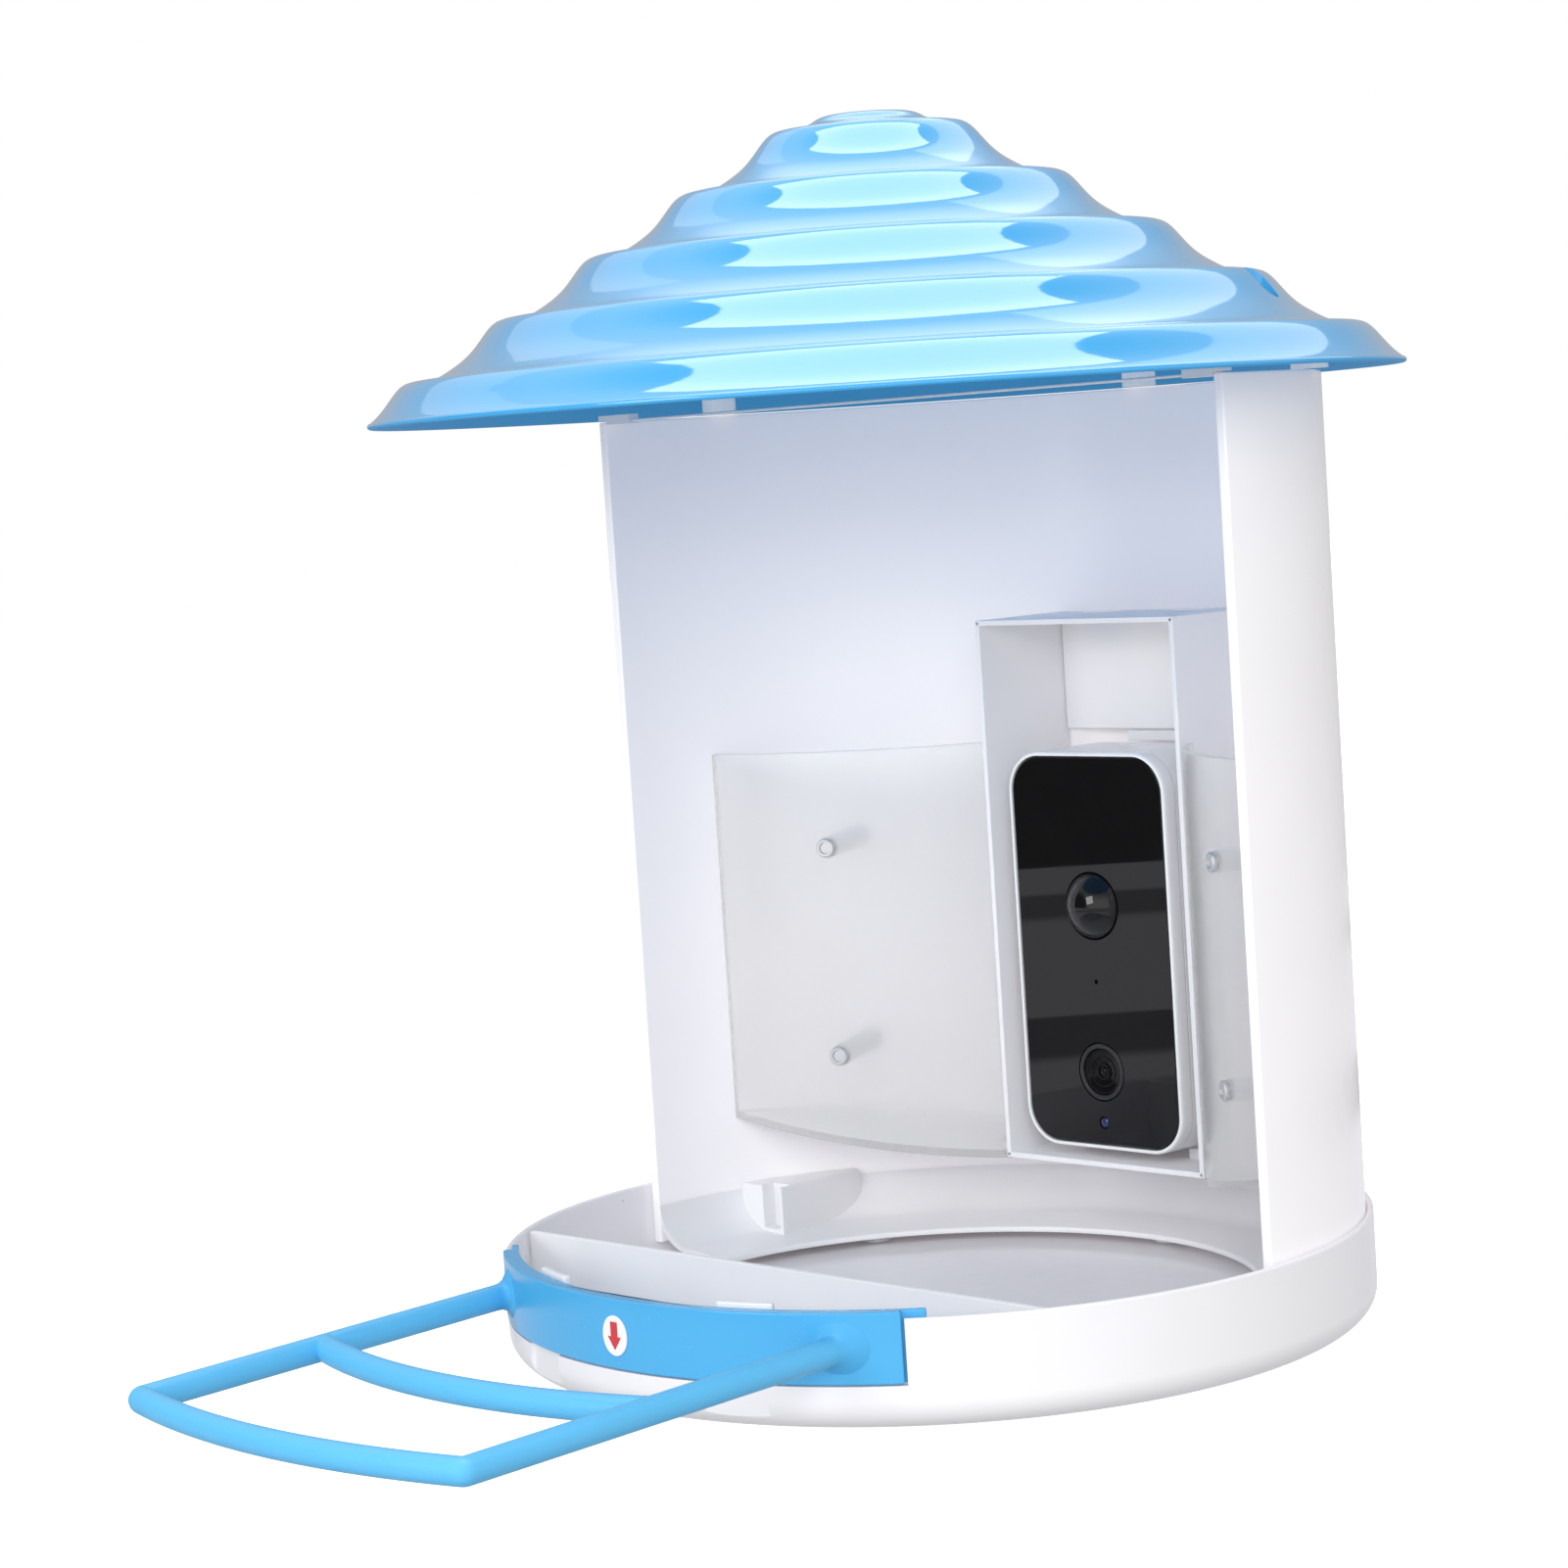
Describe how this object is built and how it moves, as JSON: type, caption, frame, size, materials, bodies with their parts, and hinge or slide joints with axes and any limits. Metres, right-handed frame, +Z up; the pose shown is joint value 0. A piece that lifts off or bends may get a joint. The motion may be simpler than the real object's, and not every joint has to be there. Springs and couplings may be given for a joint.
{
  "type": "bird feeder",
  "caption": "Camera bird feeder: rippled round roof, half-round wall, camera box between curved seed bins, round seed tray and a push-in perch.",
  "frame": {"origin": "where the tray's axis meets the surface it stands on, at the centre of the tray's underside", "axes": "+Z up along the axis of tray, wall and roof; the open front and the perch point to -Y; +X to the right seen from the front"},
  "size_m": [0.211, 0.2816, 0.2502],
  "materials": {
    "roof_blue": "gloss",
    "band_blue": "gloss",
    "perch_blue": "satin",
    "shell_white": "gloss",
    "trim_white": "satin",
    "wire_white": "satin",
    "box_white": "satin",
    "camera_white": "gloss",
    "bin_frosted": "frosted, slightly see-through",
    "stud_clear": "milky, see-through",
    "screw_steel": "satin",
    "sensor_steel": "satin",
    "front_black": "mirror gloss",
    "lens_dark": "mirror gloss",
    "part_dark": "satin",
    "light_blue": "gloss",
    "board_green": "satin",
    "cell_sleeve": "satin",
    "sticker_white": "satin",
    "arrow_red": "satin"
  },
  "bodies": {
    "feeder": {"wall_shell": "shell_white", "base_tray": "shell_white", "foot_flange": "trim_white", "foot_block_left": "trim_white", "foot_block_right": "trim_white", "tray_divider": "trim_white", "band_clip_left": "trim_white", "band_clip_right": "trim_white", "corner_lug_left": "trim_white", "corner_lug_right": "trim_white", "flange_post_1": "trim_white", "flange_post_2": "trim_white", "flange_post_3": "trim_white", "camera_latch": "trim_white", "stay_wire": "wire_white", "camera_box": "box_white", "box_back_plate": "box_white", "seed_bin_left": "bin_frosted", "seed_bin_right": "bin_frosted", "bin_pin_left_1": "bin_frosted", "bin_pin_left_2": "bin_frosted", "bin_pin_right_1": "bin_frosted", "bin_pin_right_2": "bin_frosted", "roof_stud_1": "stud_clear", "roof_stud_2": "stud_clear", "roof_stud_3": "stud_clear", "base_screw_1": "screw_steel", "base_screw_2": "screw_steel", "base_screw_3": "screw_steel", "bin_screw_1": "screw_steel", "bin_screw_2": "screw_steel", "bin_screw_3": "screw_steel", "bin_screw_4": "screw_steel"},
    "roof": {"roof_shell": "roof_blue"},
    "perch": {"perch_band": "band_blue", "perch_frame": "perch_blue", "arrow_sticker": "sticker_white", "arrow_mark": "arrow_red"},
    "camera": {"camera_case": "camera_white", "camera_bezel": "camera_white", "front_glass": "front_black", "sensor_dome": "front_black", "motion_sensor": "sensor_steel", "lens_ring": "part_dark", "lens_cover": "lens_dark", "lens_barrel": "part_dark", "lens_eye": "lens_dark", "image_sensor": "part_dark", "status_light": "light_blue", "microphone": "sensor_steel", "circuit_board": "board_green", "battery_cell_1": "cell_sleeve", "battery_cell_2": "cell_sleeve", "speaker": "part_dark"}
  },
  "joints": [
    {"name": "roof_lift", "type": "slide", "parent": "feeder", "child": "roof", "axis": [0, 0, 1], "range_m": [0, 0.06]},
    {"name": "perch_lift", "type": "slide", "parent": "feeder", "child": "perch", "axis": [0, 0, 1], "range_m": [0, 0.025]},
    {"name": "camera_slide", "type": "slide", "parent": "feeder", "child": "camera", "axis": [0, -1, 0], "range_m": [0, 0.06]}
  ]
}
